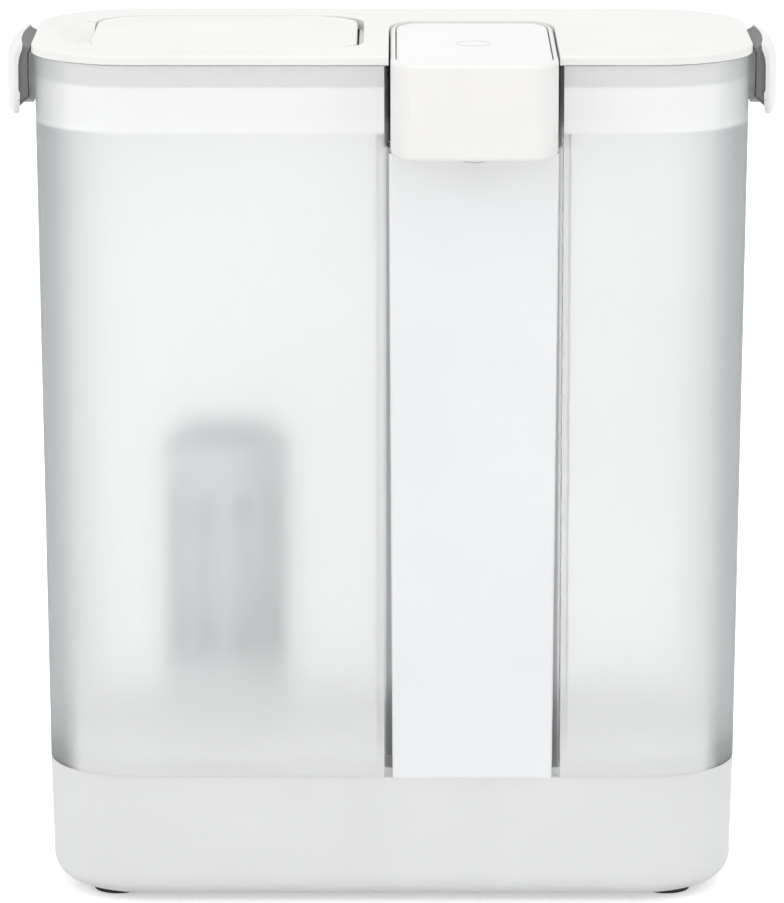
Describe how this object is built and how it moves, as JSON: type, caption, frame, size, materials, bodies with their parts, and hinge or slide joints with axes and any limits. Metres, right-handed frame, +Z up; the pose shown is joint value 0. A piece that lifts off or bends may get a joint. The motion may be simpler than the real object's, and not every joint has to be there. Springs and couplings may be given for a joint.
{
  "type": "water filter dispenser",
  "caption": "Free-standing frosted water filter tank with a clip-on lid, hinged fill cover, lift-out cartridge and a pumped tap head that overhangs the front.",
  "frame": {"origin": "centre of the whole dispenser's footprint box, on the table", "axes": "+Z up, +X to the right of someone facing the tap, +Y to the back; the tap faces -Y"},
  "size_m": [0.2546, 0.132, 0.2855],
  "materials": {
    "frosted_tank": "frosted translucent plastic",
    "frosted_base": "frosted translucent plastic",
    "pale_panel": "satin pale plastic",
    "white_satin": "satin warm white plastic",
    "white_gloss": "polished white plastic",
    "dark_rubber": "moulded rubber",
    "pale_seal": "pale silicone",
    "steel": "drawn steel",
    "filter_plastic": "moulded plastic",
    "carbon_block": "pressed carbon",
    "water_plastic": "moulded plastic",
    "motor_can": "plated steel",
    "board_green": "coated board",
    "black_plastic": "moulded plastic",
    "battery_wrap": "shrink wrap"
  },
  "bodies": {
    "tank_and_lid": {"tank": "frosted_tank", "base": "frosted_base", "riser_cover": "pale_panel", "lid": "white_satin", "tap_dock": "white_satin", "foot_front_left": "dark_rubber", "foot_front_right": "dark_rubber", "foot_rear_left": "dark_rubber", "foot_rear_right": "dark_rubber", "lid_gasket": "pale_seal", "filter_seat_seal": "pale_seal", "left_latch_pin": "steel", "right_latch_pin": "steel", "fill_cover_pin": "steel", "base_screws": "steel", "filter_seat": "water_plastic", "filter_outlet_duct": "water_plastic", "riser_tube": "water_plastic"},
    "tap_head": {"tap_housing": "white_satin", "tap_base_cover": "white_satin", "tap_screws": "steel", "button_spring": "steel", "inlet_spigot": "water_plastic", "inlet_o_ring": "pale_seal", "pump_housing": "water_plastic", "pump_motor": "motor_can", "outlet_tube": "water_plastic", "spout_nozzle": "water_plastic", "circuit_board": "board_green", "micro_switch": "black_plastic", "battery_cell": "battery_wrap", "usb_socket": "motor_can"},
    "dispense_button": {"dispense_button": "white_gloss"},
    "impeller": {"impeller": "water_plastic", "motor_shaft": "steel"},
    "left_latch": {"left_latch": "white_satin"},
    "right_latch": {"right_latch": "white_satin"},
    "fill_cover": {"fill_cover": "white_satin", "fill_cover_seal": "pale_seal"},
    "filter_cartridge": {"filter_housing": "filter_plastic", "filter_core": "carbon_block", "filter_cap": "filter_plastic"}
  },
  "joints": [
    {"name": "left_latch_hinge", "type": "hinge", "parent": "tank_and_lid", "child": "left_latch", "pos_m": [-0.1161, 0.01, 0.284], "axis": [0, 1, 0], "range_deg": [0, 95]},
    {"name": "right_latch_hinge", "type": "hinge", "parent": "tank_and_lid", "child": "right_latch", "pos_m": [0.1161, 0.01, 0.284], "axis": [0, -1, 0], "range_deg": [0, 95]},
    {"name": "fill_cover_hinge", "type": "hinge", "parent": "tank_and_lid", "child": "fill_cover", "pos_m": [-0.0275, 0.0085, 0.2825], "axis": [0, 1, 0], "range_deg": [0, 100]},
    {"name": "tap_lift", "type": "slide", "parent": "tank_and_lid", "child": "tap_head", "axis": [0, 0, 1], "range_m": [0, 0.045]},
    {"name": "button_press", "type": "slide", "parent": "tap_head", "child": "dispense_button", "axis": [0, 0, -1], "range_m": [0, 0.001], "stiffness_N_per_m": 800, "springref_m": -0.0015, "deforming": ["button_spring"]},
    {"name": "pump_spin", "type": "hinge", "parent": "tap_head", "child": "impeller", "pos_m": [0.0265, -0.0328, 0.26], "axis": [0, 0, 1], "continuous": true},
    {"name": "filter_lift", "type": "slide", "parent": "tank_and_lid", "child": "filter_cartridge", "axis": [0, 0, 1], "range_m": [0, 0.11]}
  ]
}
